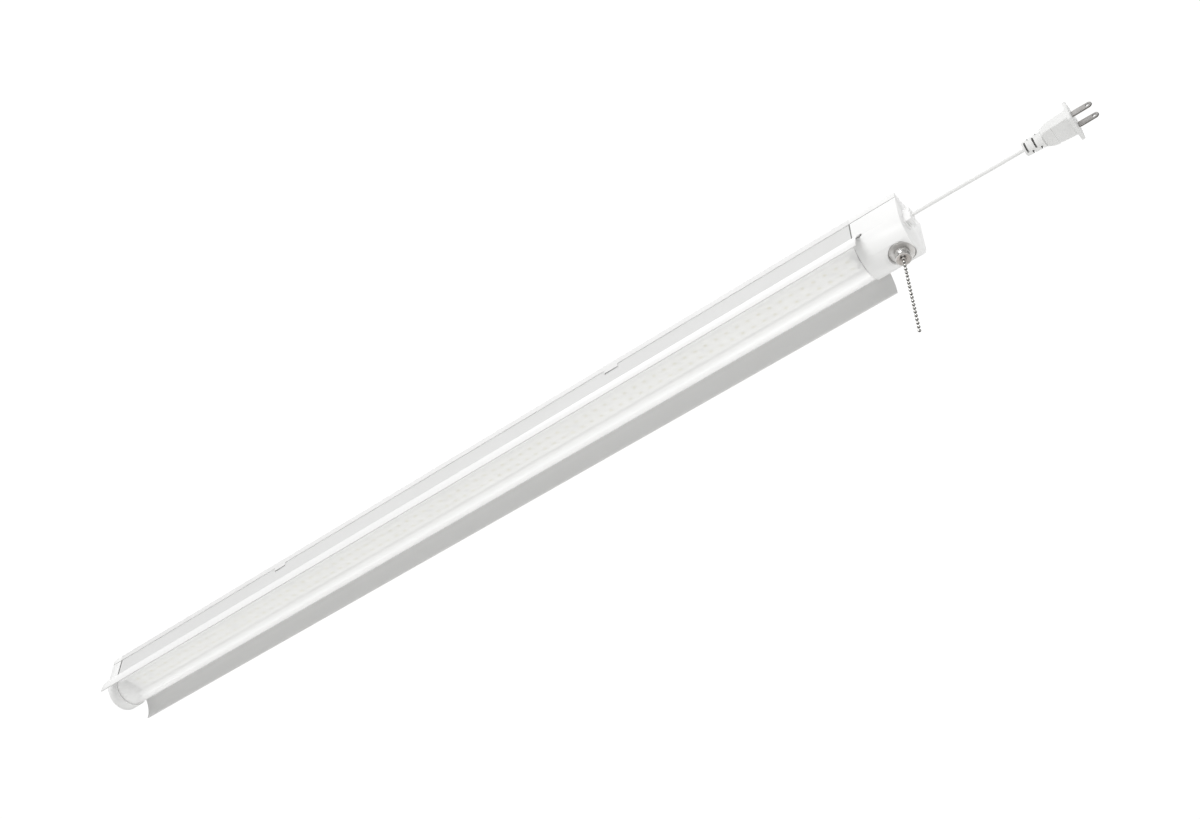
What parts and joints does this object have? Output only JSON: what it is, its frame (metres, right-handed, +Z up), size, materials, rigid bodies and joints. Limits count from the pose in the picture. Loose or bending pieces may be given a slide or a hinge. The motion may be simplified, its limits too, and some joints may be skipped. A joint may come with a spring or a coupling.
{
  "type": "hanging shop light",
  "caption": "Long white hanging shop light with a half-round frosted lens between two curved reflector wings, a pull-chain switch and a short plug lead.",
  "frame": {"origin": "on the flat top face, midway between the two hanging slots", "axes": "+X runs from the tail cap to the head cap with the switch and the lead, +Z is up out of the top face"},
  "size_m": [1.2465, 0.069, 0.1554],
  "materials": {
    "white_steel": "satin white powder coat",
    "reflector_white": "semi-gloss white enamel",
    "frosted_lens": "frosted, slightly translucent",
    "cap_plastic": "fine satin moulding",
    "board_white": "white solder mask",
    "led_phosphor": "yellow phosphor",
    "zinc": "bright zinc",
    "nickel": "nickel plate, slightly dulled",
    "brass": "bright",
    "blade_brass": "nickel-plated brass",
    "black_plastic": "satin",
    "board_green": "green solder mask",
    "copper_yellow": "yellow tape over windings",
    "wire_black": "PVC insulation",
    "rubber_black": "matt",
    "phenolic": "moulded phenolic",
    "cord_white": "soft white PVC"
  },
  "bodies": {
    "housing": {"channel": "white_steel", "top_cover": "white_steel", "wing_near": "reflector_white", "wing_far": "reflector_white", "wing_rivets": "zinc", "lens": "frosted_lens", "led_board_tail": "board_white", "led_board_head": "board_white", "leds_tail": "led_phosphor", "leds_head": "led_phosphor", "board_screws": "zinc", "board_jumper": "board_white", "head_cap": "cap_plastic", "tail_cap": "cap_plastic", "cap_screws": "zinc", "driver_tray": "black_plastic", "driver_board": "board_green", "driver_transformer": "copper_yellow", "driver_capacitors": "black_plastic", "driver_chips": "black_plastic", "driver_terminals": "board_green", "mains_wires": "wire_black", "led_wires": "wire_black", "web_grommet": "rubber_black", "switch_case": "phenolic", "switch_lid": "phenolic", "switch_axle": "zinc", "switch_spring": "zinc", "switch_contacts": "brass", "switch_bushing": "nickel", "switch_flange": "nickel", "ring_nut": "nickel", "bell_mouth": "nickel", "cord_clamp": "cap_plastic", "cord": "cord_white", "plug_relief": "cord_white", "plug_body": "cord_white", "plug_blades": "blade_brass"},
    "pull": {"chain_lead": "nickel"},
    "upper_chain": {"chain_upper": "nickel"},
    "lower_chain": {"chain_lower": "nickel"},
    "drum": {"switch_drum": "phenolic"},
    "rotor": {"switch_rotor": "phenolic"}
  },
  "joints": [
    {"name": "chain_pull", "type": "slide", "parent": "housing", "child": "pull", "axis": [0, 0, -1], "range_m": [0, 0.008], "stiffness_N_per_m": 400, "springref_m": -0.008},
    {"name": "chain_swing", "type": "hinge", "parent": "pull", "child": "upper_chain", "pos_m": [0.52, 0, -0.05757], "axis": [1, 0, 0], "range_deg": [-30, 30]},
    {"name": "chain_sway", "type": "hinge", "parent": "upper_chain", "child": "lower_chain", "pos_m": [0.52, 0, -0.10897], "axis": [0, 1, 0], "range_deg": [-60, 60]},
    {"name": "drum_turn", "type": "hinge", "parent": "housing", "child": "drum", "pos_m": [0.5148, 0, -0.03747], "axis": [0, 1, 0], "range_deg": [-1, 90]},
    {"name": "rotor_turn", "type": "hinge", "parent": "housing", "child": "rotor", "pos_m": [0.5148, 0, -0.03747], "axis": [0, 1, 0], "continuous": true}
  ],
  "couplings": [
    {"joint": "drum_turn", "follows": "chain_pull", "rad_per_m": 192.31}
  ]
}
